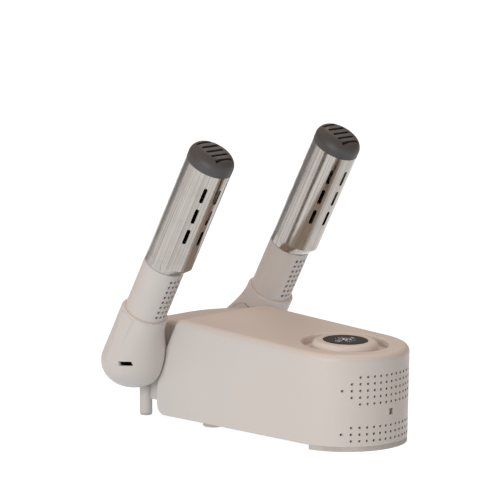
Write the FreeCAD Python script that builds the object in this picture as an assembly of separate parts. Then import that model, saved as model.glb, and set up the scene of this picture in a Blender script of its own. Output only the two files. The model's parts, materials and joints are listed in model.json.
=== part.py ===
"""Two-arm boot dryer with swivelling warm-air arms, in millimetres.

Frame: +X points from the arm end to the round nose, +Y is the left side, +Z is up.
The origin is on the floor, under the middle of the whole object.
"""
import FreeCAD
import Part
import math
import os

V = FreeCAD.Vector

# ---- driving dimensions -------------------------------------------------------------
HALF_LENGTH = 127.0         # half of the length from the mains inlet to the nose
NOSE_RADIUS = 51.2          # plan radius of the round nose, where the housing is widest
NOSE_DRAFT = 1.5            # how much narrower the housing is at its lower edge
NOSE_X = 76.0               # centre of the round nose
WALL = 2.4                  # wall of the housing and of the hub
FOOT_HEIGHT = 4.0           # the housing stands this far above the floor
TOP_SLOPE = 2.7             # degrees, the top falls towards the nose
TOP_AT_NOSE = 78.8          # height of the top over the nose centre
TOP_FILLET = 5.0
REAR_EDGE_X = -62.4         # where the top of the housing ends, at the arm side
REAR_LOW = (-88.8, 0, 13.0) # lower end of its slanting rear edge

HUB_HALF_WIDTH = 44.0
HUB_REAR_X = -125.5
HUB_CORNER = 24.0
HUB_BOTTOM = 14.0
HUB_TOP = 84.1              # height of the hub's roof where it meets the housing
HUB_SLOPE = 8.0             # degrees, its roof falls away from the housing
BOSS_RADIUS = 23.0
BOSS_FACE_Y = 50.3
GROOVE_X = -79.3             # first groove in the hub's side
GROOVE_PITCH = 2.1
GROOVE_COUNT = 7

PIVOT_X = -103.0            # swivel axis of both arms, along Y
PIVOT_Z = 50.0
ARM_Y = 72.0                # middle of the arm tube
ARM_LEAN = 29.0             # degrees from upright, towards the nose
ELBOW_FACE_Y = 52.5         # flat face of the elbow, towards the housing
ELBOW_WALL = 2.2
ELBOW_RADIUS = 24.1         # round lower end of the elbow, seen along the axis
COLLAR_RADIUS = 19.7
COLLAR_TOP = 50.0           # along the arm, from the swivel axis
TUBE_RADIUS = 17.2
TUBE_WALL = 1.8
TUBE_START = 35.0
TUBE_TOP = 97.0
STEM_RADIUS = 14.9
STEM_WALL = 0.8
STEM_START = 44.0
HEAD_TOP = 197.0
HEAD_WALL = 0.9
HEAD_SHIFT = 3.0            # the head's oval stands forward of the tube by this much
HEAD_HALF_DEPTH = 20.2      # half of the oval, fore and aft
HEAD_HALF_WIDTH = 18.0
CAP_HEIGHT = 13.0

VENT_PITCH = 5.4            # square grid of the air intake holes in the nose
VENT_RADIUS = 1.05
UPPER_ROWS = (11, 13, 15, 13, 11)
UPPER_MIDDLE_Z = 49.0
LOWER_ROWS = (13, 15, 13)
LOWER_MIDDLE_Z = 13.9
TUBE_VENT_ROWS = 8
TUBE_VENT_PITCH = 5.0
TUBE_VENT_ANGLES = (-13.5, 0.0, 13.5)
TUBE_VENT_RADIUS = 1.25

WELL_RADIUS = 35.0
WELL_DEPTH = 6.0
DIAL_RADIUS = 26.6
DIAL_BORE = 18.2
DIAL_TOP = 2.0              # above the housing's top
LENS_RADIUS = 17.5
LENS_THICKNESS = 1.2
BUTTON_TRAVEL = 1.0

SPIGOT_RADIUS = 15.0        # fixed air duct that the elbow turns on
SPIGOT_WALL = 1.8
RUNNING_FIT = 0.07          # radial clearance of the turning and sliding fits

FAN_X = 22.0
FAN_BOTTOM = 22.0
FAN_TOP = 50.0
SCROLL_RADIUS = 38.0
HEATER_X0 = -52.0
HEATER_X1 = -24.0
DUCT_HALF_WIDTH = 26.0
DUCT_BOTTOM = 24.0
DUCT_TOP = 60.0

BOARD_Z = 66.4              # underside of the control board
INLET_Z = 25.0              # middle of the mains inlet
PIN_SPACING = 8.6           # between the inlet's two pins
LEG_X = -108.0
LEG_RADIUS = 5.2

SLOPE_TAN = math.tan(math.radians(TOP_SLOPE))


# ---- small helpers ------------------------------------------------------------------
def box(x0, x1, y0, y1, z0, z1):
    return Part.makeBox(x1 - x0, y1 - y0, z1 - z0, V(x0, y0, z0))


def cylinder(x, y, z, radius, height, axis=V(0, 0, 1)):
    return Part.makeCylinder(radius, height, V(x, y, z), axis)


def ring(x, y, z, outer, inner, height, axis=V(0, 0, 1)):
    return cylinder(x, y, z, outer, height, axis).cut(cylinder(x, y, z, inner, height, axis))


def fused(shapes):
    shapes = list(shapes)
    return shapes[0].multiFuse(shapes[1:]).removeSplitter()


def top_height(x):
    """Height of the housing's sloping top at x."""
    return TOP_AT_NOSE + (NOSE_X - x) * SLOPE_TAN


def prism(edges, y0, y1):
    """A closed outline in the XZ plane, drawn at y0 and pulled to y1."""
    face = Part.Face(Part.Wire(edges))
    return face.extrude(V(0, y1 - y0, 0))


def revolved(points, arcs=()):
    """A profile of (radius, height) points turned about Z. arcs maps an index to a mid point."""
    arcs = dict(arcs)
    corners = [V(r, 0, z) for r, z in points]
    edges = []
    for i, start in enumerate(corners):
        end = corners[(i + 1) % len(corners)]
        if i in arcs:
            middle = V(arcs[i][0], 0, arcs[i][1])
            edges.append(Part.Arc(start, middle, end).toShape())
        else:
            edges.append(Part.makeLine(start, end))
    return Part.Face(Part.Wire(edges)).revolve(V(0, 0, 0), V(0, 0, 1), 360)


def mirrored(shape):
    return shape.mirror(V(0, 0, 0), V(0, 1, 0))


def on_both_sides(shape):
    return Part.makeCompound([shape, mirrored(shape)])


# ---- housing ------------------------------------------------------------------------
def nose_outline(radius, z, rear_x):
    """Plan outline with a half-round nose, at height z."""
    left = V(NOSE_X, radius, z)
    right = V(NOSE_X, -radius, z)
    rear_right = V(rear_x, -radius, z)
    rear_left = V(rear_x, radius, z)
    nose = Part.Arc(left, V(NOSE_X + radius, 0, z), right).toShape()
    sides = [Part.makeLine(right, rear_right), Part.makeLine(rear_right, rear_left)]
    return Part.Wire([nose] + sides + [Part.makeLine(rear_left, left)])


def nose_block(inset, z0, z1, rear_x):
    """The drafted plan form of the housing, set in from its outer face by inset."""
    full = top_height(NOSE_X) - FOOT_HEIGHT

    def radius_at(z):
        return NOSE_RADIUS - inset - NOSE_DRAFT * (1 - (z - FOOT_HEIGHT) / full)

    wires = [nose_outline(radius_at(z), z, rear_x) for z in (z0, z1)]
    return Part.makeLoft(wires, True, True)


def rear_curve(shift):
    """The housing's slanting rear edge as one curve, moved along X by shift."""
    knots = [V(REAR_EDGE_X, 0, top_height(REAR_EDGE_X)), V(-74.5, 0, 64.0), V(-83.0, 0, 46.0), V(-87.8, 0, 28.0)]
    curve = Part.BSplineCurve()
    curve.interpolate([knot + V(shift, 0, 0) for knot in knots + [V(*REAR_LOW)]])
    return curve.toShape()


def side_profile():
    """Side view of the housing: sloping top, slanting rear edge and a round lower corner."""
    reach = HALF_LENGTH + 12.0
    rear_top = V(REAR_EDGE_X, 0, top_height(REAR_EDGE_X))
    rear_low = V(*REAR_LOW)
    corner_end = V(REAR_LOW[0] + 8.3, 0, FOOT_HEIGHT)
    corner_mid = V(REAR_LOW[0] + 2.2, 0, FOOT_HEIGHT + 2.6)
    path = [corner_end, V(reach, 0, FOOT_HEIGHT), V(reach, 0, top_height(reach)), rear_top]
    edges = [rear_curve(0), Part.Arc(rear_low, corner_mid, corner_end).toShape()]
    edges += [Part.makeLine(start, end) for start, end in zip(path, path[1:])]
    return [edge.translated(V(0, -100, 0)) for edge in edges]


def housing_form():
    block = nose_block(0, FOOT_HEIGHT, 100.0, -110.0)
    form = block.common(prism(side_profile(), -100, 100))
    return form.makeFillet(TOP_FILLET, top_edges(form))


def top_edges(form):
    """Edges of the sloping top, without the one at the arm side."""
    for face in form.Faces:
        normal = face.normalAt(0, 0)
        if normal.z > 0.99 and face.CenterOfMass.z > 70:
            return [edge for edge in face.OuterWire.Edges if edge.CenterOfMass.x > REAR_EDGE_X + 1]
    raise ValueError("no top face")


def cavity_form(inset, top_gap):
    """Inside of the housing, open below and towards the hub."""
    block = nose_block(inset, FOOT_HEIGHT - 3, 100.0, -110.0)
    high = top_height(-110.0) - top_gap
    low = top_height(140.0) - top_gap
    corners = [V(-110, -100, 0), V(140, -100, 0), V(140, -100, low), V(-110, -100, high), V(-110, -100, 0)]
    cut = Part.Face(Part.makePolygon(corners)).extrude(V(0, 200, 0))
    return block.common(cut)


def dial_placed(shape):
    """Moves a shape from the dial's own frame, where z = 0 is the top of the housing."""
    moved = shape.copy()
    moved.rotate(V(0, 0, 0), V(0, 1, 0), TOP_SLOPE)
    moved.translate(V(NOSE_X, 0, TOP_AT_NOSE))
    return moved


def nose_vents():
    holes = []
    for rows, middle in ((UPPER_ROWS, UPPER_MIDDLE_Z), (LOWER_ROWS, LOWER_MIDDLE_Z)):
        for i, count in enumerate(rows):
            z = middle + (len(rows) // 2 - i) * VENT_PITCH
            for k in range(count):
                y = (k - (count - 1) / 2) * VENT_PITCH
                holes.append(cylinder(NOSE_X + 15, y, z, VENT_RADIUS, 50, V(1, 0, 0)))
    return holes


def upper_housing():
    cup = cylinder(0, 0, -WELL_DEPTH - WALL, WELL_RADIUS + WALL, WELL_DEPTH + WALL - 1)
    posts = [
        cylinder(20 * math.cos(a), 20 * math.sin(a), -14.0, 2.2, 14.0 - WELL_DEPTH)
        for a in (math.radians(d) for d in (60, 180, 300))
    ]
    shell = housing_form().cut(cavity_form(WALL, WALL + 0.2))
    shell = shell.fuse(dial_placed(fused([cup] + posts)).common(housing_form()))
    shell = shell.cut(dial_placed(cylinder(0, 0, -WELL_DEPTH, WELL_RADIUS, WELL_DEPTH + 20)))
    shell = shell.cut(dial_placed(cylinder(0, 0, -WELL_DEPTH - 5, 5.6, 10)))
    window = box(NOSE_X + 30, NOSE_X + 60, -2.2, 2.2, 27.5, 32.5)
    shell = shell.multiFuse([screw_boss(x, y, side) for x, y, side in screw_places()])
    rim = [edge for edge in shell.Edges if is_well_rim(edge)]
    shell = shell.makeFillet(1.4, rim)
    return shell.cut(Part.makeCompound(nose_vents() + [window])).removeSplitter()


def screw_boss(x, y, side):
    """Boss for one base screw, tied to the housing's side wall by a rib."""
    rib_y = sorted((y, 48 * side))
    boss = cylinder(x, y, FOOT_HEIGHT + 3.2, 4.2, 14)
    rib = box(x - 1, x + 1, *rib_y, 8, 20)
    return boss.fuse(rib).cut(cylinder(x, y, 0, 1.4, 30))


def is_well_rim(edge):
    """True for the round edge where the well meets the housing's top."""
    curve = edge.Curve
    return (
        isinstance(curve, Part.Circle)
        and abs(curve.Radius - WELL_RADIUS) < 0.01
        and abs(edge.CenterOfMass.z - TOP_AT_NOSE) < 0.3
    )


def screw_places():
    return [(x, side * 40.0, side) for x in (-50.0, 62.0) for side in (-1, 1)]


def base_tray():
    outline = nose_block(WALL + 0.3, FOOT_HEIGHT + 0.2, FOOT_HEIGHT + 2.8, -80.0)
    hook = box(NOSE_X + 43.5, NOSE_X + 45.5, -2, 2, FOOT_HEIGHT + 2, 33)
    barb = box(NOSE_X + 45, NOSE_X + 47.8, -1.8, 1.8, 28, 31.5)
    motor_seat = ring(FAN_X, 0, FOOT_HEIGHT + 2.5, 18.4, 16.4, 5)
    ribs = [box(-70, -10, y - 0.8, y + 0.8, FOOT_HEIGHT + 2.5, 14) for y in (-24, 24)]
    lip = box(-84.8, -78, -46, 46, FOOT_HEIGHT + 1.6, FOOT_HEIGHT + 3.8)
    tray = fused([outline, lip, hook.fuse(barb), motor_seat] + ribs)
    holes = [cylinder(x, y, 0, 1.7, 12) for x, y, side in screw_places()]
    sinks = [cylinder(x, y, 0, 3.4, FOOT_HEIGHT + 1.6) for x, y, side in screw_places()]
    return tray.cut(Part.makeCompound(holes)).cut(Part.makeCompound(sinks))


def screw(x, y, z_head, length, head_radius=3.0, radius=1.3):
    head = cylinder(x, y, z_head, head_radius, 1.4)
    slot = box(x - 1.6, x + 1.6, y - 0.35, y + 0.35, z_head - 0.1, z_head + 0.6)
    slot = slot.fuse(box(x - 0.35, x + 0.35, y - 1.6, y + 1.6, z_head - 0.1, z_head + 0.6))
    return head.cut(slot).fuse(cylinder(x, y, z_head + 1.4, radius, length))


def base_screws():
    return Part.makeCompound([screw(x, y, FOOT_HEIGHT + 0.2, 11) for x, y, side in screw_places()])


# ---- feet ---------------------------------------------------------------------------
def nose_foot():
    outer = cylinder(NOSE_X, 0, 0, NOSE_RADIUS - NOSE_DRAFT - 0.3, FOOT_HEIGHT)
    crescent = outer.cut(cylinder(NOSE_X, 0, 0, 37, FOOT_HEIGHT))
    crescent = crescent.common(box(NOSE_X + 7, 140, -60, 60, 0, FOOT_HEIGHT))
    return crescent


def side_feet():
    foot = cylinder(-50, 0, 0, 8, FOOT_HEIGHT)
    foot = foot.makeFillet(1.2, [edge for edge in foot.Edges if edge.CenterOfMass.z < 0.1])
    lug = cylinder(-50, 0, FOOT_HEIGHT, 2.0, 1.0)
    foot = foot.fuse(lug.common(cylinder(-50, 0, FOOT_HEIGHT, 2.0, 0.2)))
    foot.translate(V(14, 38, 0))
    return on_both_sides(foot)


def rear_legs():
    """Round legs under the swivel bosses, shaped to the hub's side above its lower edge."""
    leg = cylinder(LEG_X, HUB_HALF_WIDTH, 2.0, LEG_RADIUS, 27.0)
    leg = leg.cut(hub_boss(BOSS_RADIUS + 0.05, 30, 70))
    return on_both_sides(leg.cut(hub_plan(-0.05, HUB_BOTTOM - 0.05, 60, -60)))


def rear_leg_pads():
    pad = cylinder(LEG_X, HUB_HALF_WIDTH, 0, LEG_RADIUS - 0.4, 2.0)
    pad = pad.makeFillet(0.8, [edge for edge in pad.Edges if edge.CenterOfMass.z < 0.1])
    return on_both_sides(pad)


# ---- hub ----------------------------------------------------------------------------
def hub_plan(inset, z0, z1, front_x):
    """Plan form of the hub with its two round rear corners."""
    half = HUB_HALF_WIDTH - inset
    rear = HUB_REAR_X + inset
    block = box(rear, front_x, -half, half, z0, z1)
    corners = [
        edge for edge in block.Edges
        if abs(edge.CenterOfMass.x - rear) < 0.01 and abs(abs(edge.CenterOfMass.y) - half) < 0.01
    ]
    return block.makeFillet(HUB_CORNER - inset, corners)


def hub_roof(drop):
    """Everything under the hub's sloping roof, less drop."""
    def height(x):
        return HUB_TOP - drop - (REAR_EDGE_X - x) * math.tan(math.radians(HUB_SLOPE))

    corners = [V(-140, -100, 0), V(-40, -100, 0), V(-40, -100, height(-40)), V(-140, -100, height(-140))]
    return Part.Face(Part.makePolygon(corners + corners[:1])).extrude(V(0, 200, 0))


def hub_outer():
    form = hub_plan(0, HUB_BOTTOM, 100, -50).common(hub_roof(0))
    roof_edges = [
        edge for edge in form.Edges
        if edge.BoundBox.ZMin > 70 and edge.CenterOfMass.x < -52
    ]
    return form.makeFillet(3.0, roof_edges)


def behind_rear_edge(shift):
    """Everything on the arm side of the housing's rear edge, moved along X by shift."""
    rear = rear_curve(shift)
    top = V(REAR_EDGE_X + shift, 0, top_height(REAR_EDGE_X))
    low = V(*REAR_LOW) + V(shift, 0, 0)
    path = [low, V(low.x, 0, 0), V(-150, 0, 0), V(-150, 0, 100), V(top.x, 0, 100), top]
    edges = [rear] + [Part.makeLine(a, b) for a, b in zip(path, path[1:])]
    return prism([edge.translated(V(0, -100, 0)) for edge in edges], -100, 100)


def hub_boss(radius, y0, y1):
    return cylinder(PIVOT_X, y0, PIVOT_Z, radius, y1 - y0, V(0, 1, 0))


def hub_lining():
    """The room inside the hub."""
    return hub_plan(WALL, HUB_BOTTOM - 1, 100, -40).common(hub_roof(3.0))


def hub_collar(room):
    """Wall that closes the gap between the narrow hub and the wider housing around it."""
    band = room.common(behind_rear_edge(3.2)).cut(behind_rear_edge(0.8))
    band = band.common(box(-110, 0, -60, 60, FOOT_HEIGHT + 4.0, 100))
    opening = hub_lining().common(box(-140, 0, -60, 60, HUB_BOTTOM + 2, 100))
    return band.cut(opening)


def rear_hub():
    face = BOSS_FACE_Y
    bosses = [hub_boss(BOSS_RADIUS, 30, face), hub_boss(BOSS_RADIUS, -face, -30)]
    inner = BOSS_RADIUS - WALL
    boss_rooms = [hub_boss(inner, 28, face - WALL), hub_boss(inner, WALL - face, -28)]
    shell = hub_outer().multiFuse(bosses).cut(hub_lining()).cut(Part.makeCompound(boss_rooms))
    room = cavity_form(WALL + 0.25, WALL + 0.5)
    shell = shell.common(behind_rear_edge(-0.15).fuse(room.common(behind_rear_edge(3.2))))
    shell = shell.fuse(hub_collar(room))
    bore = hub_boss(SPIGOT_RADIUS + 0.02, -60, 60)
    inlet = box(-140, -100, -12.2, 12.2, INLET_Z - 8.2, INLET_Z + 8.2)
    return shell.cut(bore).cut(inlet).cut(Part.makeCompound(hub_grooves()))


def hub_grooves():
    """Fine upright grooves in the hub's sides, between the boss and the housing, below the roof's rounding."""
    grooves = []
    for i in range(GROOVE_COUNT):
        x = GROOVE_X + i * GROOVE_PITCH
        top = HUB_TOP - (REAR_EDGE_X - x) * math.tan(math.radians(HUB_SLOPE)) - 4.2
        for side in (-1, 1):
            y = side * HUB_HALF_WIDTH
            grooves.append(box(x, x + 0.9, y - 0.5, y + 0.5, HUB_BOTTOM + 4, top))
    return grooves


def hub_floor():
    return hub_plan(WALL + 0.2, HUB_BOTTOM + 0.2, HUB_BOTTOM + 2.4, -88.6)


def mains_inlet():
    """Figure-eight inlet with its flange outside the hub."""
    half_width = 13.5
    flange = box(-HALF_LENGTH, HUB_REAR_X, -half_width, half_width, INLET_Z - 9.5, INLET_Z + 9.5)
    flange = flange.makeFillet(3.0, [
        edge for edge in flange.Edges
        if abs(abs(edge.CenterOfMass.y) - half_width) < 0.01 and abs(edge.CenterOfMass.z - INLET_Z) > 9
    ])
    body = flange.fuse(box(HUB_REAR_X, -108.5, -12, 12, INLET_Z - 8, INLET_Z + 8))
    half = PIN_SPACING / 2
    lobes = [cylinder(-140, y, INLET_Z, 4.4, 29, V(1, 0, 0)) for y in (-half, half)]
    bridge = box(-140, -111, -half, half, INLET_Z - 2.9, INLET_Z + 2.9)
    return body.cut(fused(lobes + [bridge])).cut(pin_pair(1.25))


def pin_pair(radius):
    half = PIN_SPACING / 2
    return Part.makeCompound([cylinder(-121, y, INLET_Z, radius, 15, V(1, 0, 0)) for y in (-half, half)])


def inlet_pins():
    return pin_pair(1.2)


# ---- air path -----------------------------------------------------------------------
def arc_panel(outer, inner, half_angle, z0, z1):
    """Part of an upright ring about the nose centre, facing the nose."""
    whole = ring(NOSE_X, 0, z0, outer, inner, z1 - z0)
    reach = 80
    edge = math.radians(half_angle)
    corners = [
        V(NOSE_X, 0, z0),
        V(NOSE_X + reach * math.cos(edge), -reach * math.sin(edge), z0),
        V(NOSE_X + reach * 1.5, 0, z0),
        V(NOSE_X + reach * math.cos(edge), reach * math.sin(edge), z0),
        V(NOSE_X, 0, z0),
    ]
    sector = Part.Face(Part.makePolygon(corners)).extrude(V(0, 0, z1 - z0))
    return whole.common(sector)


def intake_filter():
    pad = arc_panel(46.2, 43.8, 56, FOOT_HEIGHT + 3, 62)
    return pad.cut(box(NOSE_X + 40, NOSE_X + 50, -3, 3, 0, 34))


def filter_frame():
    frame = arc_panel(43.4, 41.6, 60, FOOT_HEIGHT + 3, 64)
    windows = []
    for middle in (-42, -21, 0, 21, 42):
        window = box(NOSE_X + 20, NOSE_X + 60, -6.2, 6.2, FOOT_HEIGHT + 8, 58)
        windows.append(window.rotated(V(NOSE_X, 0, 0), V(0, 0, 1), middle))
    return frame.cut(Part.makeCompound(windows))


def scroll_form(inset, z0, z1):
    drum = cylinder(FAN_X, 0, z0, SCROLL_RADIUS - inset, z1 - z0)
    half = DUCT_HALF_WIDTH - inset
    throat = box(HEATER_X1 + 0.3, FAN_X, -half, half, z0, z1)
    return drum.fuse(throat)


def blower_housing():
    """Lower half of the blower: floor and walls."""
    shell = scroll_form(0, FAN_BOTTOM, FAN_TOP).cut(scroll_form(1.8, FAN_BOTTOM + 1.8, FAN_TOP + 1))
    shell = shell.cut(box(HEATER_X1 - 5, HEATER_X1 + 6, -24.2, 24.2, FAN_BOTTOM + 1.8, FAN_TOP + 1))
    return shell.cut(cylinder(FAN_X, 0, 0, 4.0, 60))


def board_posts(x, z):
    """Two stepped posts that carry the control board at x."""
    posts = []
    for y in (-22, 22):
        posts.append(cylinder(x, y, z, 2.6, BOARD_Z - 0.05 - z))
        posts.append(cylinder(x, y, z, 1.5, BOARD_Z + 1.5 - z))
    return posts


def blower_cover():
    """Lid of the blower with its bell mouth, which draws air from the filter side."""
    lid = scroll_form(0, FAN_TOP + 0.1, FAN_TOP + 1.9)
    mouth = ring(FAN_X, 0, FAN_TOP + 0.1, 24.5, 22.5, 5)
    return fused([lid, mouth] + board_posts(6, FAN_TOP + 1)).cut(cylinder(FAN_X, 0, 0, 22.5, 100))


def fan_motor():
    can = cylinder(FAN_X, 0, FOOT_HEIGHT + 3.2, 16.2, 13.8)
    can = can.makeFillet(1.5, [can.Edges[0]])
    boss = cylinder(FAN_X, 0, FOOT_HEIGHT + 17, 5, 1.0)
    return can.fuse(boss).cut(cylinder(FAN_X, 0, 10, 1.56, 40))


def motor_shaft():
    return cylinder(FAN_X, 0, 12, 1.5, 30)


def impeller():
    floor_z = FAN_BOTTOM + 3.4
    disc = cylinder(FAN_X, 0, floor_z, 31, 1.4)
    hub = cylinder(FAN_X, 0, floor_z, 6, 14)
    rim = ring(FAN_X, 0, FAN_TOP - 5, 31, 26.5, 1.4)
    blade = box(FAN_X + 26.5, FAN_X + 31, -0.5, 0.5, floor_z + 1, FAN_TOP - 4.5)
    blade.rotate(V(FAN_X + 28.5, 0, 0), V(0, 0, 1), 32)
    blade = blade.common(ring(FAN_X, 0, floor_z, 30.9, 26.6, 40))
    count = 30
    blades = [blade.rotated(V(FAN_X, 0, 0), V(0, 0, 1), i * 360 / count) for i in range(count)]
    return fused([disc, hub, rim] + blades).cut(cylinder(FAN_X, 0, 0, 1.5, 80))


def heater_frame():
    outer = box(HEATER_X0, HEATER_X1, -DUCT_HALF_WIDTH, DUCT_HALF_WIDTH, FAN_BOTTOM, DUCT_TOP)
    inner = box(HEATER_X0 - 1, HEATER_X1 + 1, -DUCT_HALF_WIDTH + 2, DUCT_HALF_WIDTH - 2, DUCT_BOTTOM, DUCT_TOP - 2)
    mask = box(HEATER_X1 - 2, HEATER_X1, -DUCT_HALF_WIDTH, DUCT_HALF_WIDTH, FAN_TOP - 2, DUCT_TOP)
    return fused([outer.cut(inner), mask] + board_posts(-42, DUCT_TOP - 0.5))


def heater_bars():
    """Flat ceramic heating bars across the duct."""
    half = DUCT_HALF_WIDTH - 2
    return Part.makeCompound([box(-44, -32, -half, half, z, z + 2.4) for z in (31, 41)])


def heater_fins():
    """Aluminium fins above and below each bar."""
    fins = []
    count = 18
    pitch = 2 * (DUCT_HALF_WIDTH - 4) / (count - 1)
    for i in range(count):
        y = -DUCT_HALF_WIDTH + 4 + i * pitch
        for z0, z1 in ((25, 30.9), (33.5, 40.9), (43.5, 47.5)):
            fins.append(box(-43, -33, y - 0.2, y + 0.2, z0, z1))
    return Part.makeCompound(fins)


def thermal_cutout():
    can = cylinder(-48, 0, DUCT_TOP, 6, 3.5)
    tabs = [box(-49, -47, y - 0.4, y + 0.4, DUCT_TOP + 3.5, DUCT_TOP + 8) for y in (-3.5, 3.5)]
    return fused([can] + tabs)


def air_manifold():
    """Duct from the heater to the hub, with a cross duct to both spigots."""
    run = box(-88, HEATER_X0 - 0.2, -24, 24, DUCT_BOTTOM + 2, DUCT_TOP)
    chest = box(-118, -86, -26, 26, 40, 66)
    cross = hub_boss(SPIGOT_RADIUS + 1.9, -38, 38)
    room = box(-86, HEATER_X0 + 1, -22.2, 22.2, DUCT_BOTTOM + 3.8, DUCT_TOP - 1.8)
    chest_room = box(-116.2, -84, -24.2, 24.2, 41.8, DUCT_TOP - 1.8)
    bore = hub_boss(SPIGOT_RADIUS + 0.02, -40, 40)
    return fused([run, chest, cross]).cut(fused([room, chest_room, bore]))


def left_spigot():
    duct = hub_boss(SPIGOT_RADIUS, 26.5, 60)
    return duct.cut(hub_boss(SPIGOT_RADIUS - SPIGOT_WALL, 20, 70)).cut(
        ring(PIVOT_X, 57, PIVOT_Z, SPIGOT_RADIUS + 1, SPIGOT_RADIUS - 0.8, 1.6, V(0, 1, 0)))


def left_friction_washer():
    return ring(PIVOT_X, BOSS_FACE_Y + 0.05, PIVOT_Z, 18.5, SPIGOT_RADIUS + 0.05, 1.8, V(0, 1, 0))


def left_retaining_ring():
    clip = ring(PIVOT_X, 57.1, PIVOT_Z, SPIGOT_RADIUS + 1.8, SPIGOT_RADIUS - 0.7, 1.3, V(0, 1, 0))
    return clip.cut(box(PIVOT_X - 2.5, PIVOT_X + 2.5, 50, 60, PIVOT_Z + 10, PIVOT_Z + 30))


# ---- electronics --------------------------------------------------------------------
def control_board():
    board = box(-46, 10, -30, 30, BOARD_Z, BOARD_Z + 1.6)
    return board.cut(Part.makeCompound([cylinder(x, y, 60, 1.6, 20) for x in (-42, 6) for y in (-22, 22)]))


def board_components():
    """Capacitors, transformer, relay, driver, chip and buzzer, all on the board's upper face."""
    z = BOARD_Z + 1.7
    parts = [
        cylinder(-36, -14, z, 4.0, 7.0),
        cylinder(-36, -3, z, 4.0, 7.0),
        box(-29, -15, -20, -6, z, z + 7.4),
        box(-28, -10, 4, 16, z, z + 5),
        box(-6, 0, -8, 10, z, z + 2),
        box(-37, -31, 8, 20, z, z + 8),
        cylinder(3, -14, z, 2.5, 5),
    ]
    return Part.makeCompound(parts)


def display_board():
    disc = cylinder(0, 0, -15.7, 25, 1.6)
    switch = box(-3, 3, -3, 3, -14.1, -12.4)
    chip = box(8, 16, -5, 5, -14.1, -12.8)
    return dial_placed(fused([disc, switch, chip]))


def button_spring():
    """Flat wave spring under the display button, drawn as two thin rings and four webs."""
    low = ring(0, 0, -WELL_DEPTH + 0.1, 9.5, 7.5, 0.5)
    high = ring(0, 0, -WELL_DEPTH + 2.4, 9.5, 7.5, 0.5)
    webs = [
        box(7.6, 9.4, -0.8, 0.8, -WELL_DEPTH + 0.3, -WELL_DEPTH + 2.6).rotated(V(0, 0, 0), V(0, 0, 1), a)
        for a in (0, 90, 180, 270)
    ]
    return dial_placed(fused([low, high] + webs))


# ---- dial and display ---------------------------------------------------------------
def dial_ring():
    profile = [
        (DIAL_BORE, -WELL_DEPTH + 0.4),
        (DIAL_RADIUS, -WELL_DEPTH + 0.4),
        (DIAL_RADIUS, -2.6),
        (DIAL_RADIUS - 4.6, DIAL_TOP),
        (DIAL_BORE, DIAL_TOP),
    ]
    bend = (DIAL_RADIUS - 1.1, DIAL_TOP - 1.6)
    return dial_placed(revolved(profile, {2: bend}))


def display_carrier():
    top = DIAL_TOP - LENS_THICKNESS
    disc = cylinder(0, 0, -1.8, LENS_RADIUS, top + 1.8)
    stem = cylinder(0, 0, -11.0, 5.0, 9.5)
    return dial_placed(disc.fuse(stem).removeSplitter())


def display_lens():
    lens = cylinder(0, 0, DIAL_TOP - LENS_THICKNESS, LENS_RADIUS, LENS_THICKNESS + 0.2)
    upper = [edge for edge in lens.Edges if abs(edge.CenterOfMass.z - DIAL_TOP - 0.2) < 0.01]
    return dial_placed(lens.makeFillet(0.5, upper))


# ---- left arm, in its own frame: origin on the swivel axis, z along the tube ---------
def arm_placed(shape):
    moved = shape.copy()
    moved.rotate(V(0, 0, 0), V(0, 1, 0), ARM_LEAN)
    moved.translate(V(PIVOT_X, 0, PIVOT_Z))
    return moved


def elbow_section(share, inset):
    """Half depth, middle and half width of the elbow's oval, share 0 at the axis, 1 at the collar."""
    ease = share * share * (3 - 2 * share)
    half_depth = ELBOW_RADIUS + (COLLAR_RADIUS - ELBOW_RADIUS) * ease
    middle = 60.0 + (ARM_Y - 60.0) * ease
    half_width = ARM_Y + COLLAR_RADIUS - middle
    return half_depth - inset, middle, half_width - inset + 0.01


def elbow_arcs(share, inset, face_y, z):
    """The two quarter arcs of one section, from the flat face to the outermost point."""
    depth, middle, width = elbow_section(share, inset)
    start = math.asin(max((face_y - middle) / width, -0.97))
    flat_y = middle + width * math.sin(start)
    points = []
    for k in range(9):
        angle = start + (math.pi / 2 - start) * k / 8
        points.append(V(depth * math.cos(angle), middle + width * math.sin(angle), z))
    arc = Part.BSplineCurve()
    outward = V(-1, 0, 0)
    first = V(-depth * math.sin(start), width * math.cos(start), 0)
    arc.interpolate(Points=points, InitialTangent=first, FinalTangent=outward)
    right = arc.toShape()
    left = right.mirror(V(0, 0, 0), V(1, 0, 0))
    flat = Part.makeLine(V(-points[0].x, flat_y, z), V(points[0].x, flat_y, z))
    return right, left, flat


def elbow_form(inset, face_y, top):
    """Solid form of the elbow: a round lower end that narrows to the collar."""
    right, left, flat = elbow_arcs(0, inset, face_y, 0)
    outermost = right.Vertexes[-1].Point
    axis_line = Part.makeLine(V(0, face_y, 0), outermost)
    half_flat = Part.makeLine(V(0, face_y, 0), right.Vertexes[0].Point)
    half = Part.Face(Part.Wire([half_flat, right, axis_line]))
    lower = half.revolve(V(0, 0, 0), V(0, 1, 0), 180)
    neck = COLLAR_TOP - 6
    levels = [z for z in (0, 11, 22, 33, neck) if z < top - 3] + [top]
    wires = []
    for z in levels:
        wires.append(Part.Wire(list(elbow_arcs(min(z / neck, 1), inset, face_y, z))))
    upper = Part.makeLoft(wires, True, False)
    return lower.fuse(upper)


def collar_rounding(radius):
    """Ring that is cut away to round the collar's upper edge."""
    edge = COLLAR_RADIUS
    low = COLLAR_TOP - radius
    profile = [(edge - radius, COLLAR_TOP), (edge, low), (edge + 3, low), (edge + 3, COLLAR_TOP + 1), (edge - radius, COLLAR_TOP + 1)]
    bend = (edge - 0.293 * radius, COLLAR_TOP - 0.293 * radius)
    return revolved(profile, {0: bend}).translated(V(0, ARM_Y, 0))


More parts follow.
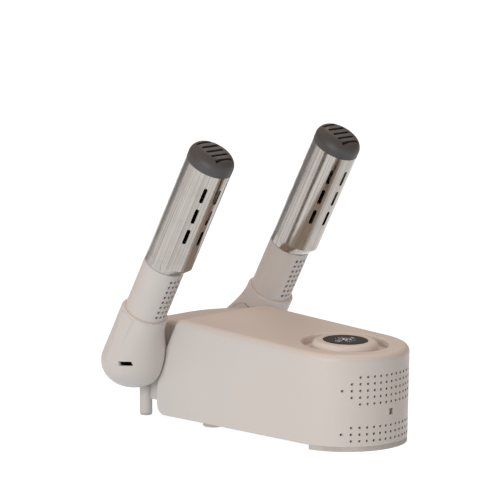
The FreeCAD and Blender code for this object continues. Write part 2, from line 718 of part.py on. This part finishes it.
def left_elbow_shell():
    outer = elbow_form(0, ELBOW_FACE_Y, COLLAR_TOP).cut(collar_rounding(1.8))
    shell = outer.cut(elbow_form(ELBOW_WALL, ELBOW_FACE_Y - 1, TUBE_START))
    shell = shell.cut(cylinder(0, ARM_Y, TUBE_START - 1, TUBE_RADIUS + 0.05, 40))
    bosses = plate_fixings(2.2, ELBOW_FACE_Y + 2.8, 95).common(elbow_form(1.0, ELBOW_FACE_Y, TUBE_START))
    shell = shell.fuse(bosses).cut(plate_fixings(0.85, 40, ELBOW_FACE_Y + 9))
    return arm_placed(shell).cut(snap_window())


def snap_window():
    """Small oblong catch window in the elbow's outer face, level when the arm leans forward."""
    return box(PIVOT_X + 10.5, PIVOT_X + 19.5, 62, 100, PIVOT_Z - 1, PIVOT_Z + 2.6)


def left_elbow_plate():
    """Flat plate that closes the elbow and turns on the spigot, with its catch."""
    slab = box(-60, 60, ELBOW_FACE_Y, ELBOW_FACE_Y + 2.6, -60, TUBE_START - 0.5)
    plate = elbow_form(ELBOW_WALL + 0.1, ELBOW_FACE_Y - 1, TUBE_START - 0.5).common(slab)
    hole = Part.makeCylinder(SPIGOT_RADIUS + RUNNING_FIT, 20, V(0, 45, 0), V(0, 1, 0))
    plate = arm_placed(plate.cut(hole).cut(plate_fixings(0.9, 40, 60)))
    catch = box(PIVOT_X + 17.2, PIVOT_X + 19.2, ELBOW_FACE_Y + 0.5, 74.5, PIVOT_Z - 0.8, PIVOT_Z + 2.4)
    return plate.fuse(catch)


def plate_fixings(radius, y0, y1):
    """Two cylinders, one at each fixing point of the elbow's plate."""
    pieces = []
    for angle in (100, 260):
        x = 20.4 * math.sin(math.radians(angle))
        z = 20.4 * math.cos(math.radians(angle))
        pieces.append(Part.makeCylinder(radius, y1 - y0, V(x, y0, z), V(0, 1, 0)))
    return Part.makeCompound(pieces)


def left_elbow_screws():
    """Two small screws that hold the plate to bosses in the elbow."""
    heads = plate_fixings(1.6, ELBOW_FACE_Y - 0.7, ELBOW_FACE_Y - 0.05)
    shanks = plate_fixings(0.8, ELBOW_FACE_Y - 0.3, ELBOW_FACE_Y + 8)
    return arm_placed(Part.makeCompound([h.fuse(s) for h, s in zip(heads.Solids, shanks.Solids)]))


def left_vent_tube():
    tube = ring(0, ARM_Y, TUBE_START, TUBE_RADIUS, TUBE_RADIUS - TUBE_WALL, TUBE_TOP - TUBE_START)
    outer_edges = [
        edge for edge in tube.Edges
        if edge.BoundBox.ZMin > TUBE_TOP - 0.1 and edge.BoundBox.XMax > TUBE_RADIUS - 0.1
    ]
    tube = tube.makeFillet(0.6, outer_edges)
    holes = []
    for row in range(TUBE_VENT_ROWS):
        z = TUBE_TOP - 6.5 - row * TUBE_VENT_PITCH
        for angle in TUBE_VENT_ANGLES:
            hole = cylinder(TUBE_RADIUS - 6, ARM_Y, z, TUBE_VENT_RADIUS, 12, V(1, 0, 0))
            holes.append(hole.rotated(V(0, ARM_Y, 0), V(0, 0, 1), angle))
    return arm_placed(tube.cut(Part.makeCompound(holes)))


def left_tube_guide():
    """Slide ring inside the top of the tube."""
    return arm_placed(ring(0, ARM_Y, TUBE_TOP - 4.5, TUBE_RADIUS - TUBE_WALL, STEM_RADIUS + RUNNING_FIT, 4))


def left_stem_seal():
    """Ring round the lower end of the sliding stem."""
    inner_wall = TUBE_RADIUS - TUBE_WALL
    return arm_placed(ring(0, ARM_Y, STEM_START, inner_wall - RUNNING_FIT, STEM_RADIUS, 3.5))


def left_head_stem():
    stem = ring(0, ARM_Y, STEM_START, STEM_RADIUS, STEM_RADIUS - STEM_WALL, TUBE_TOP + 3 - STEM_START)
    slot = box(5, 20, ARM_Y - 7, ARM_Y + 7, STEM_START + 6, TUBE_TOP - 7)
    return arm_placed(stem.cut(slot))


def oval(depth, width, shift, z):
    """Closed oval wire across the arm."""
    if depth > width:
        ellipse = Part.Ellipse(V(shift + depth, ARM_Y, z), V(shift, ARM_Y + width, z), V(shift, ARM_Y, z))
    else:
        ellipse = Part.Ellipse(V(shift, ARM_Y + width, z), V(shift - depth, ARM_Y, z), V(shift, ARM_Y, z))
    return Part.Wire([ellipse.toShape()])


def head_form(inset, z0, z1):
    """Head with a short cone that widens forward, then straight oval sides."""
    cone_top = TUBE_TOP + 8.5
    low = oval(TUBE_RADIUS + 0.02 - inset, TUBE_RADIUS - inset, 0, z0)
    wide = oval(HEAD_HALF_DEPTH - inset, HEAD_HALF_WIDTH - inset, HEAD_SHIFT, cone_top)
    cone = Part.makeLoft([low, wide], True, True)
    return cone.fuse(Part.Face(wide).extrude(V(0, 0, z1 - cone_top)))


def slot_cutter(angle, z, length, width):
    """Rounded slot along the arm that goes out through the head's wall at one side."""
    half = width / 2
    body = box(8, 40, -half, half, z, z + length)
    ends = [cylinder(8, 0, h, half, 32, V(1, 0, 0)) for h in (z, z + length)]
    cutter = fused([body] + ends)
    cutter.rotate(V(0, 0, 0), V(0, 0, 1), angle)
    cutter.translate(V(HEAD_SHIFT, ARM_Y, 0))
    return cutter


def left_steel_head():
    outer = head_form(0, TUBE_TOP + 0.4, HEAD_TOP)
    inner = head_form(HEAD_WALL, TUBE_TOP + 0.4, HEAD_TOP + 1)
    inner = inner.common(box(-60, 60, 0, 140, TUBE_TOP + 1.4, 300))
    shell = outer.cut(inner).cut(cylinder(0, ARM_Y, TUBE_TOP - 5, STEM_RADIUS, 20))
    slots = []
    for angle in (-36, 0, 36, 144, 180, 216):
        for i in range(3):
            slots.append(slot_cutter(angle, TUBE_TOP + 36 + i * 20, 11, 3.0))
    return arm_placed(shell.cut(Part.makeCompound(slots)))


def left_head_cap():
    """Rounded plastic nozzle that closes the head, with air slots through its crown."""
    base = oval(HEAD_HALF_DEPTH, HEAD_HALF_WIDTH, HEAD_SHIFT, HEAD_TOP + 0.1)
    crown = Part.Face(base).extrude(V(0, 0, CAP_HEIGHT))
    crown = crown.makeFillet(9.0, [edge for edge in crown.Edges if edge.BoundBox.ZMin > HEAD_TOP + CAP_HEIGHT - 1])
    plug = oval(HEAD_HALF_DEPTH - HEAD_WALL - 0.1, HEAD_HALF_WIDTH - HEAD_WALL - 0.1, HEAD_SHIFT, HEAD_TOP - 6)
    skirt = Part.Face(plug).extrude(V(0, 0, 6.1))
    room = oval(HEAD_HALF_DEPTH - 3.2, HEAD_HALF_WIDTH - 3.2, HEAD_SHIFT, HEAD_TOP - 7)
    room = Part.Face(room).extrude(V(0, 0, CAP_HEIGHT + 3.5))
    room = room.makeFillet(6.0, [edge for edge in room.Edges if edge.BoundBox.ZMin > HEAD_TOP + 5])
    cap = crown.fuse(skirt).cut(room)
    slots = []
    for i in range(5):
        x = HEAD_SHIFT - 12 + i * 6
        slots.append(box(x - 1.2, x + 1.2, ARM_Y - 9, ARM_Y + 9, HEAD_TOP + 4, HEAD_TOP + 30))
    return arm_placed(cap.cut(Part.makeCompound(slots)))


# ---- all nodes ----------------------------------------------------------------------
MIDDLE_NODES = [
    upper_housing, base_tray, base_screws, nose_foot, side_feet, rear_legs, rear_leg_pads,
    rear_hub, hub_floor, mains_inlet, inlet_pins, intake_filter, filter_frame,
    blower_housing, blower_cover, fan_motor, motor_shaft, impeller,
    heater_frame, heater_bars, heater_fins, thermal_cutout, air_manifold,
    control_board, board_components, display_board, button_spring,
    dial_ring, display_carrier, display_lens,
]
SIDE_NODES = [
    left_spigot, left_friction_washer, left_retaining_ring,
    left_elbow_shell, left_elbow_plate, left_elbow_screws, left_vent_tube, left_tube_guide,
    left_head_stem, left_stem_seal, left_steel_head, left_head_cap,
]


def main():
    os.makedirs("parts", exist_ok=True)
    shapes = {make.__name__: make() for make in MIDDLE_NODES}
    for make in SIDE_NODES:
        name = make.__name__
        shapes[name] = make()
        shapes[name.replace("left_", "right_")] = mirrored(shapes[name])
    for name, shape in shapes.items():
        shape.exportStep(f"parts/{name}.step")
    whole = Part.makeCompound(list(shapes.values())).BoundBox
    print(len(shapes), "nodes", [round(v, 2) for v in (whole.XMin, whole.XMax, whole.YMin, whole.YMax, whole.ZMin, whole.ZMax)])
    for name, shape in shapes.items():
        if not shape.isValid() or any(solid.Volume <= 0 for solid in shape.Solids) or not shape.Solids:
            print("check", name, shape.isValid(), len(shape.Solids))


main()
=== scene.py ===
"""Looks of the boot dryer: camera, light, floor, materials and the marks on the display."""
import json
import math

import bmesh
import bpy
from mathutils import Matrix, Vector


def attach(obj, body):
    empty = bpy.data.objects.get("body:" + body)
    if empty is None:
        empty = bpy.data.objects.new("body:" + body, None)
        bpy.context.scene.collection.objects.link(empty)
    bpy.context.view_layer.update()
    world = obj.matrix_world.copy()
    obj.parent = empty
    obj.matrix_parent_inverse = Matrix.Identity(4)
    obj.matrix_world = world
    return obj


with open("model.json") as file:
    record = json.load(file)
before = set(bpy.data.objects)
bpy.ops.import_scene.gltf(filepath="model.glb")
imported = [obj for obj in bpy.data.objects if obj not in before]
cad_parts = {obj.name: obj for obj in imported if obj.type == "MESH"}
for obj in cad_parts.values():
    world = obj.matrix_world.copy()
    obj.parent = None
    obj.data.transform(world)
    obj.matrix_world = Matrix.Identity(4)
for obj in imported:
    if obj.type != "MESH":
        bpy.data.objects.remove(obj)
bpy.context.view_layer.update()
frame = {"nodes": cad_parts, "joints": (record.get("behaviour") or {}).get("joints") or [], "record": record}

MM = 0.001
nodes = frame["nodes"]

# ---- where things are, read from the frame --------------------------------------------
joint_list = {joint["name"]: joint for joint in frame["joints"]}
dial_point = Vector(joint_list["dial_turn"]["pos_m"])
dial_axis = Vector(joint_list["dial_turn"]["axis"])
tube_axis = Vector(joint_list["left_head_slide"]["axis"])
tube_lean = math.atan2(tube_axis.x, tube_axis.z)


# ---- camera ---------------------------------------------------------------------------
CAMERA_AZIMUTH = math.radians(45.0)
CAMERA_ELEVATION = math.radians(9.4)
CAMERA_DISTANCE = 3.5   # metres
CAMERA_LENS = 313.0     # millimetres
AIM_RIGHT = -0.0222     # metres from the origin to the point in the middle of the view
AIM_UP = 0.1442


def make_camera():
    data = bpy.data.cameras.new("camera")
    data.lens = CAMERA_LENS
    data.sensor_width = 36.0
    data.clip_start = 0.05
    data.clip_end = 100.0
    camera = bpy.data.objects.new("camera", data)
    bpy.context.scene.collection.objects.link(camera)
    flat = math.cos(CAMERA_ELEVATION)
    back = Vector((
        math.sin(CAMERA_AZIMUTH) * flat,
        -math.cos(CAMERA_AZIMUTH) * flat,
        math.sin(CAMERA_ELEVATION),
    ))
    right = Vector((math.cos(CAMERA_AZIMUTH), math.sin(CAMERA_AZIMUTH), 0.0))
    aim = right * AIM_RIGHT + Vector((0.0, 0.0, AIM_UP))
    camera.location = aim + back * CAMERA_DISTANCE
    camera.rotation_mode = "QUATERNION"
    camera.rotation_quaternion = (-back).to_track_quat("-Z", "Y")
    bpy.context.scene.camera = camera


# ---- light and floor ------------------------------------------------------------------
# Height in the surroundings, from 0 straight down to 1 straight up, and the colour there.
SURROUNDINGS = (
    (0.0, (0.62, 0.615, 0.61)),
    (0.45, (0.36, 0.36, 0.36)),
    (0.58, (0.27, 0.265, 0.26)),
    (0.9, (0.70, 0.52, 0.42)),
)
LIGHT_AIM = (0.0, 0.0, 0.08)
FLOOR_REACH = 12.0
FLOOR_COLOUR = (0.66, 0.78, 0.92, 1.0)
FLOOR_GLOW = 0.72       # keeps the floor pale where no lamp reaches


def area_light(name, place, aim, size, power, colour):
    data = bpy.data.lights.new(name, "AREA")
    data.shape = "RECTANGLE"
    data.size, data.size_y = size
    data.energy = power
    data.color = colour
    lamp = bpy.data.objects.new(name, data)
    lamp.location = place
    lamp.rotation_mode = "QUATERNION"
    lamp.rotation_quaternion = (Vector(aim) - Vector(place)).to_track_quat("-Z", "Y")
    lamp.visible_camera = False
    bpy.context.scene.collection.objects.link(lamp)


def make_world():
    """Soft surroundings: warm from above, dim at the horizon and paler again from below."""
    world = bpy.data.worlds.new("studio")
    bpy.context.scene.world = world
    world.use_nodes = True
    tree = world.node_tree
    backdrop = tree.nodes["Background"]
    place = tree.nodes.new("ShaderNodeTexCoord")
    split = tree.nodes.new("ShaderNodeSeparateXYZ")
    height = tree.nodes.new("ShaderNodeMapRange")
    height.inputs["From Min"].default_value = -1.0
    colours = tree.nodes.new("ShaderNodeValToRGB")
    tree.links.new(place.outputs["Generated"], split.inputs["Vector"])
    tree.links.new(split.outputs["Z"], height.inputs["Value"])
    tree.links.new(height.outputs["Result"], colours.inputs["Fac"])
    tree.links.new(colours.outputs["Color"], backdrop.inputs["Color"])
    stops = colours.color_ramp.elements
    stops.remove(stops[1])
    stops[0].color = (*SURROUNDINGS[0][1], 1.0)
    for level, colour in SURROUNDINGS[1:]:
        stops.new(level).color = (*colour, 1.0)


def make_light():
    make_world()
    area_light(
        "key", place=(0.44, -1.64, 0.50), aim=LIGHT_AIM, size=(0.9, 0.7), power=12.0, colour=(1.0, 1.0, 1.0),
    )
    area_light(
        "back", place=(-0.6, 0.9, 1.3), aim=LIGHT_AIM, size=(0.5, 0.6), power=2.0, colour=(1.0, 0.96, 0.92),
    )


def make_floor():
    mesh = bpy.data.meshes.new("floor")
    corners = [(x * FLOOR_REACH, y * FLOOR_REACH, 0) for x, y in ((-1, -1), (1, -1), (1, 1), (-1, 1))]
    mesh.from_pydata(corners, [], [(0, 1, 2, 3)])
    floor = bpy.data.objects.new("floor", mesh)
    bpy.context.scene.collection.objects.link(floor)
    material = bpy.data.materials.new("floor")
    material.use_nodes = True
    shader = material.node_tree.nodes["Principled BSDF"]
    shader.inputs["Base Color"].default_value = FLOOR_COLOUR
    shader.inputs["Roughness"].default_value = 0.9
    shader.inputs["Specular IOR Level"].default_value = 0.1
    shader.inputs["Emission Color"].default_value = (1.0, 1.0, 1.0, 1.0)
    shader.inputs["Emission Strength"].default_value = FLOOR_GLOW
    mesh.materials.append(material)
    floor.visible_diffuse = False


# ---- materials ------------------------------------------------------------------------
class Builder:
    """Short ways to add and join shader nodes."""

    def __init__(self, name):
        self.material = bpy.data.materials.new(name)
        self.material.use_nodes = True
        self.tree = self.material.node_tree
        self.shader = self.tree.nodes["Principled BSDF"]
        coordinates = self.tree.nodes.new("ShaderNodeTexCoord")
        self.place = coordinates.outputs["Object"]

    def add(self, kind, **inputs):
        node = self.tree.nodes.new(kind)
        for key, value in inputs.items():
            node.inputs[key.replace("_", " ")].default_value = value
        return node

    def join(self, output, node, socket):
        self.tree.links.new(output, node.inputs[socket])

    def noise(self, scale, detail=3.0, roughness=0.5, stretch=None):
        node = self.add("ShaderNodeTexNoise", Scale=scale, Detail=detail, Roughness=roughness)
        source = self.place
        if stretch:
            mapping = self.add("ShaderNodeMapping")
            mapping.inputs["Scale"].default_value = stretch
            self.join(source, mapping, "Vector")
            source = mapping.outputs["Vector"]
        self.join(source, node, "Vector")
        return node.outputs["Fac"]

    def spread(self, value, low, high, start=0.3, end=0.7):
        node = self.add("ShaderNodeMapRange")
        for socket, number in zip(("From Min", "From Max", "To Min", "To Max"), (start, end, low, high)):
            node.inputs[socket].default_value = number
        self.join(value, node, "Value")
        return node.outputs["Result"]

    def blend(self, factor, first, second):
        """Mixes two colours, each a tuple or an output."""
        node = self.tree.nodes.new("ShaderNodeMix")
        node.data_type = "RGBA"
        self.tree.links.new(factor, node.inputs["Factor"])
        for index, colour in ((6, first), (7, second)):
            if isinstance(colour, tuple):
                node.inputs[index].default_value = (*colour, 1.0)
            else:
                self.tree.links.new(colour, node.inputs[index])
        return node.outputs[2]

    def bump(self, height, distance, strength=1.0, under=None):
        node = self.add("ShaderNodeBump", Strength=strength, Distance=distance)
        self.join(height, node, "Height")
        if under is not None:
            self.join(under, node, "Normal")
        return node.outputs["Normal"]

    def edges(self, radius, low=0.02, high=0.35):
        """1 along sharp edges, 0 elsewhere."""
        bevel = self.add("ShaderNodeBevel", Radius=radius)
        bevel.samples = 4
        geometry = self.tree.nodes.new("ShaderNodeNewGeometry")
        dot = self.tree.nodes.new("ShaderNodeVectorMath")
        dot.operation = "DOT_PRODUCT"
        self.join(bevel.outputs["Normal"], dot, 0)
        self.tree.links.new(geometry.outputs["Normal"], dot.inputs[1])
        return self.spread(dot.outputs["Value"], 1.0, 0.0, 1.0 - high, 1.0 - low)

    def soft_normal(self, radius):
        """Surface normal with every sharp edge eased over radius."""
        bevel = self.add("ShaderNodeBevel", Radius=radius)
        bevel.samples = 4
        return bevel.outputs["Normal"]

    def crevice(self, distance):
        """0 deep in corners and holes, 1 on open surface."""
        node = self.add("ShaderNodeAmbientOcclusion", Distance=distance)
        node.samples = 6
        return node.outputs["AO"]


def scaled(colour, factor):
    return tuple(min(1.0, channel * factor) for channel in colour)


def moulded_plastic(name, colour, roughness=0.42, grain=0.00002, warm=0.03):
    """Satin injection-moulded plastic: fine spark texture, faint blotches, painted shade in corners and
    holes, painted highlight along sharp edges.
    """
    b = Builder(name)
    blotch = b.noise(9.0, 4.0, 0.55)
    tint = (colour[0] * (1 + warm), colour[1], colour[2] * (1 - warm))
    body = b.blend(b.spread(blotch, 0.0, 1.0), scaled(colour, 0.975), scaled(tint, 1.015))
    speck = b.noise(2600.0, 1.0, 0.4)
    body = b.blend(b.spread(speck, 0.0, 0.10, 0.60, 0.75), body, scaled(colour, 0.80))
    # painted shade: corners go to a darker warm tone and holes to near black, following an occlusion mask
    shade = b.crevice(0.005)
    painted_corner_shade = b.spread(shade, 0.30, 0.0, 0.30, 0.85)
    body = b.blend(painted_corner_shade, body, scaled(tint, 0.72))
    painted_hole_shade = b.spread(shade, 1.0, 0.0, 0.02, 0.34)
    body = b.blend(painted_hole_shade, body, scaled(colour, 0.02))
    # painted highlight: the colour is lightened along every sharp edge
    painted_edge_highlight = b.edges(0.0007)
    body = b.blend(b.spread(painted_edge_highlight, 0.0, 0.35, 0.0, 1.0), body, scaled(colour, 1.08))
    b.join(body, b.shader, "Base Color")
    smear = b.noise(38.0, 5.0, 0.6)
    b.join(b.spread(smear, roughness - 0.05, roughness + 0.07), b.shader, "Roughness")
    spark = b.noise(1500.0, 2.0, 0.5)
    wave = b.noise(14.0, 2.0, 0.5)
    normal = b.bump(wave, 0.00010, 0.35, b.soft_normal(0.0005))
    b.join(b.bump(spark, grain, 1.0, normal), b.shader, "Normal")
    b.shader.inputs["Specular IOR Level"].default_value = 0.42
    return b.material


def soft_rubber(name, colour):
    b = Builder(name)
    dusty = b.noise(60.0, 5.0, 0.65)
    body = b.blend(b.spread(dusty, 0.0, 1.0), scaled(colour, 0.88), scaled(colour, 1.12))
    b.join(body, b.shader, "Base Color")
    b.join(b.spread(dusty, 0.72, 0.9), b.shader, "Roughness")
    b.join(b.bump(b.noise(900.0, 3.0, 0.6), 0.00005), b.shader, "Normal")
    b.shader.inputs["Specular IOR Level"].default_value = 0.25
    return b.material


def polished_steel(name, stretch, axis_tilt):
    """Drawn stainless tube: hairlines along the tube over a mirror polish, with handling smudges; the light
    and dark bands along the tube are hairline grain and painted reflection.
    """
    b = Builder(name)
    turn = b.add("ShaderNodeMapping")
    turn.inputs["Rotation"].default_value = (0.0, -axis_tilt, 0.0)
    b.join(b.place, turn, "Vector")
    b.place = turn.outputs["Vector"]
    # bands along the tube: hairline grain, and painted reflection contrast in the base colour
    hairline_and_painted_reflection = b.noise(1.0, 2.0, 0.6, stretch)
    smudge = b.noise(55.0, 5.0, 0.62)
    body = b.blend(b.spread(hairline_and_painted_reflection, 0.0, 1.0), (0.30, 0.275, 0.245), (0.50, 0.475, 0.445))
    body = b.blend(b.spread(smudge, 0.0, 0.35, 0.5, 0.8), body, (0.26, 0.235, 0.205))
    b.join(body, b.shader, "Base Color")
    b.shader.inputs["Metallic"].default_value = 1.0
    b.join(b.spread(smudge, 0.10, 0.20), b.shader, "Roughness")
    b.join(b.bump(hairline_and_painted_reflection, 0.000012), b.shader, "Normal")
    return b.material


def plated_metal(name, colour, roughness=0.35):
    b = Builder(name)
    cloud = b.noise(220.0, 4.0, 0.6)
    body = b.blend(b.spread(cloud, 0.0, 1.0), scaled(colour, 0.85), scaled(colour, 1.1))
    b.join(body, b.shader, "Base Color")
    b.shader.inputs["Metallic"].default_value = 1.0
    b.join(b.spread(cloud, roughness - 0.08, roughness + 0.12), b.shader, "Roughness")
    b.join(b.bump(b.noise(1800.0, 2.0), 0.00001), b.shader, "Normal")
    return b.material


def display_glass(name):
    """Gloss black lens with faint wipe marks."""
    b = Builder(name)
    wipe = b.noise(1.0, 4.0, 0.6, (60.0, 240.0, 60.0))
    body = b.blend(b.spread(wipe, 0.0, 1.0), (0.006, 0.006, 0.007), (0.014, 0.014, 0.016))
    b.join(body, b.shader, "Base Color")
    b.join(b.spread(wipe, 0.05, 0.16), b.shader, "Roughness")
    b.join(b.bump(b.noise(500.0, 2.0), 0.000003), b.shader, "Normal")
    b.shader.inputs["Specular IOR Level"].default_value = 0.05
    return b.material


def lit_mark(name, colour, strength):
    b = Builder(name)
    patch = b.noise(900.0, 2.0)
    body = b.blend(b.spread(patch, 0.0, 1.0), scaled(colour, 0.85), colour)
    b.join(body, b.shader, "Base Color")
    b.join(body, b.shader, "Emission Color")
    b.shader.inputs["Emission Strength"].default_value = strength
    b.join(b.spread(patch, 0.3, 0.5), b.shader, "Roughness")
    return b.material


def filter_foam(name):
    b = Builder(name)
    cells = b.add("ShaderNodeTexVoronoi", Scale=900.0)
    b.join(b.place, cells, "Vector")
    depth = b.spread(cells.outputs["Distance"], 0.0, 1.0, 0.1, 0.7)
    body = b.blend(depth, (0.01, 0.01, 0.012), (0.07, 0.07, 0.075))
    b.join(body, b.shader, "Base Color")
    b.join(b.spread(depth, 0.8, 0.98, 0.0, 1.0), b.shader, "Roughness")
    b.join(b.bump(depth, 0.0006), b.shader, "Normal")
    return b.material


def circuit_board(name):
    b = Builder(name)
    tracks = b.add("ShaderNodeTexBrick", Scale=160.0)
    tracks.inputs["Mortar Size"].default_value = 0.03
    b.join(b.place, tracks, "Vector")
    body = b.blend(tracks.outputs["Fac"], (0.012, 0.12, 0.05), (0.03, 0.22, 0.09))
    b.join(body, b.shader, "Base Color")
    b.join(b.spread(b.noise(200.0), 0.3, 0.5), b.shader, "Roughness")
    b.join(b.bump(tracks.outputs["Fac"], 0.00004), b.shader, "Normal")
    return b.material


WARM_WHITE = (0.73, 0.705, 0.685)
# the hub's colour is the warm white darkened: painted shade on the hub roof
HUB_WHITE_PAINTED_SHADE = (0.67, 0.645, 0.62)


def make_materials():
    return {
        "shell_white": moulded_plastic("shell_white", WARM_WHITE),
        "hub_white": moulded_plastic("hub_white", HUB_WHITE_PAINTED_SHADE, 0.48),
        "arm_white": moulded_plastic("arm_white", scaled(WARM_WHITE, 0.98), 0.40),
        "tube_white": moulded_plastic("tube_white", scaled(WARM_WHITE, 0.97), 0.38),
        "dial_white": moulded_plastic("dial_white", scaled(WARM_WHITE, 1.03), 0.34, 0.00001),
        "display_black": display_glass("display_black"),
        "polished_steel": polished_steel("polished_steel", (900.0, 900.0, 6.0), tube_lean),
        "cap_grey": moulded_plastic("cap_grey", (0.075, 0.074, 0.075), 0.45, 0.00003),
        "foot_rubber": soft_rubber("foot_rubber", (0.60, 0.575, 0.54)),
        "seal_rubber": soft_rubber("seal_rubber", (0.03, 0.03, 0.03)),
        "inlet_plastic": moulded_plastic("inlet_plastic", (0.02, 0.02, 0.021), 0.4),
        "pin_brass": plated_metal("pin_brass", (0.72, 0.68, 0.60), 0.25),
        "filter_mesh": filter_foam("filter_mesh"),
        "inner_plastic": moulded_plastic("inner_plastic", (0.30, 0.29, 0.28), 0.5),
        "motor_steel": plated_metal("motor_steel", (0.52, 0.52, 0.53)),
        "screw_steel": plated_metal("screw_steel", (0.42, 0.42, 0.43)),
        "impeller_black": moulded_plastic("impeller_black", (0.03, 0.03, 0.032), 0.4),
        "heater_frame": moulded_plastic("heater_frame", (0.12, 0.10, 0.09), 0.6),
        "ceramic": soft_rubber("ceramic", (0.62, 0.58, 0.52)),
        "fin_aluminium": plated_metal("fin_aluminium", (0.72, 0.72, 0.73), 0.4),
        "circuit_board": circuit_board("circuit_board"),
        "components": moulded_plastic("components", (0.05, 0.05, 0.055), 0.4),
    }


def dress_cad_nodes(materials):
    slots = {part["node"]: part["material_slot"] for part in frame["record"]["subparts"]}
    for name, piece in nodes.items():
        material = materials[slots[name]]
        for slot in piece.material_slots:
            slot.material = material


# ---- display marks --------------------------------------------------------------------
def dial_matrix():
    """From the dial's own frame: x along the dial towards the nose, y to the left side, z out of it."""
    x_axis = Vector((0.0, 1.0, 0.0)).cross(dial_axis).normalized()
    y_axis = dial_axis.cross(x_axis)
    return Matrix.Translation(dial_point) @ Matrix((x_axis, y_axis, dial_axis)).transposed().to_4x4()


def add_piece(name, mesh, material, body):
    mesh.materials.append(material)
    piece = bpy.data.objects.new(name, mesh)
    bpy.context.scene.collection.objects.link(piece)
    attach(piece, body)


LENS_TOP = 2.2 * MM       # above the dial joint's point
MARK_HEIGHT = 0.06 * MM
MARK_SINK = 0.01 * MM     # the marks start this far inside the lens
TIMER_HEIGHT = 7.0 * MM
SMALL_HEIGHT = 3.6 * MM
BAR_WIDTH = 0.5 * MM
SEGMENTS = {"0": "abcdef", "3": "abgcd", "6": "afgedc"}


def bar(bm, centre, length, width, upright):
    """One pointed display segment, as a thin raised hexagon."""
    half = length / 2
    edge = width / 2
    outline = [
        (-half, 0), (-half + edge, edge), (half - edge, edge),
        (half, 0), (half - edge, -edge), (-half + edge, -edge),
    ]
    if upright:
        outline = [(y, x) for x, y in outline][::-1]
    low = [bm.verts.new((centre[0] + x, centre[1] + y, LENS_TOP - MARK_SINK)) for x, y in outline]
    high = [bm.verts.new((centre[0] + x, centre[1] + y, LENS_TOP + MARK_HEIGHT)) for x, y in outline]
    bm.faces.new(high)
    bm.faces.new(low[::-1])
    for i in range(6):
        j = (i + 1) % 6
        bm.faces.new((low[i], low[j], high[j], high[i]))


def digit(bm, character, x, y, height):
    width = height * 0.5
    stroke = height * 0.10
    half = height / 2
    places = {
        "a": ((x, y + half), width, False),
        "g": ((x, y), width, False),
        "d": ((x, y - half), width, False),
        "b": ((x + width / 2, y + half / 2), half, True),
        "c": ((x + width / 2, y - half / 2), half, True),
        "f": ((x - width / 2, y + half / 2), half, True),
        "e": ((x - width / 2, y - half / 2), half, True),
    }
    for letter in SEGMENTS[character]:
        centre, length, upright = places[letter]
        bar(bm, centre, length * 0.9, stroke, upright)


def dots(bm, x, y, radius, count, spread):
    """A row of small round marks."""
    for i in range(count):
        centre = Vector((x + (i - (count - 1) / 2) * spread, y, LENS_TOP + MARK_HEIGHT / 2))
        bmesh.ops.create_cone(
            bm, cap_ends=True, segments=16, radius1=radius, radius2=radius, depth=MARK_HEIGHT,
            matrix=Matrix.Translation(centre),
        )


def display_marks(materials):
    """A generic timer reading, a smaller number beside it, level dots and short bars."""
    bm = bmesh.new()
    digit(bm, "3", -2.4 * MM, 0.6 * MM, TIMER_HEIGHT)
    digit(bm, "0", 2.4 * MM, 0.6 * MM, TIMER_HEIGHT)
    digit(bm, "6", -9.4 * MM, 0.0, SMALL_HEIGHT)
    digit(bm, "0", -6.8 * MM, 0.0, SMALL_HEIGHT)
    dots(bm, 0.0, -6.6 * MM, 0.4 * MM, 5, 2.4 * MM)
    for i, length in enumerate((3.6, 2.8, 2.0)):
        bar(bm, (8.4 * MM, (1.8 - 1.6 * i) * MM), length * MM, BAR_WIDTH, False)
    for x in (-3.6, 0.0, 3.6):
        bar(bm, (x * MM, 7.6 * MM), 1.8 * MM, BAR_WIDTH, False)
    turn = Matrix.Rotation(math.radians(90.0), 4, "Z")
    bmesh.ops.transform(bm, matrix=dial_matrix() @ turn, verts=bm.verts)
    mesh = bpy.data.meshes.new("display_marks")
    bm.to_mesh(mesh)
    bm.free()
    add_piece("display_marks", mesh, materials["lit_mark"], "display_button")


# ---- run ------------------------------------------------------------------------------
make_camera()
make_light()
make_floor()
materials = make_materials()
materials["lit_mark"] = lit_mark("lit_mark", (0.66, 0.70, 0.72), 0.35)
dress_cad_nodes(materials)
display_marks(materials)
bpy.context.scene.view_settings.view_transform = "Standard"
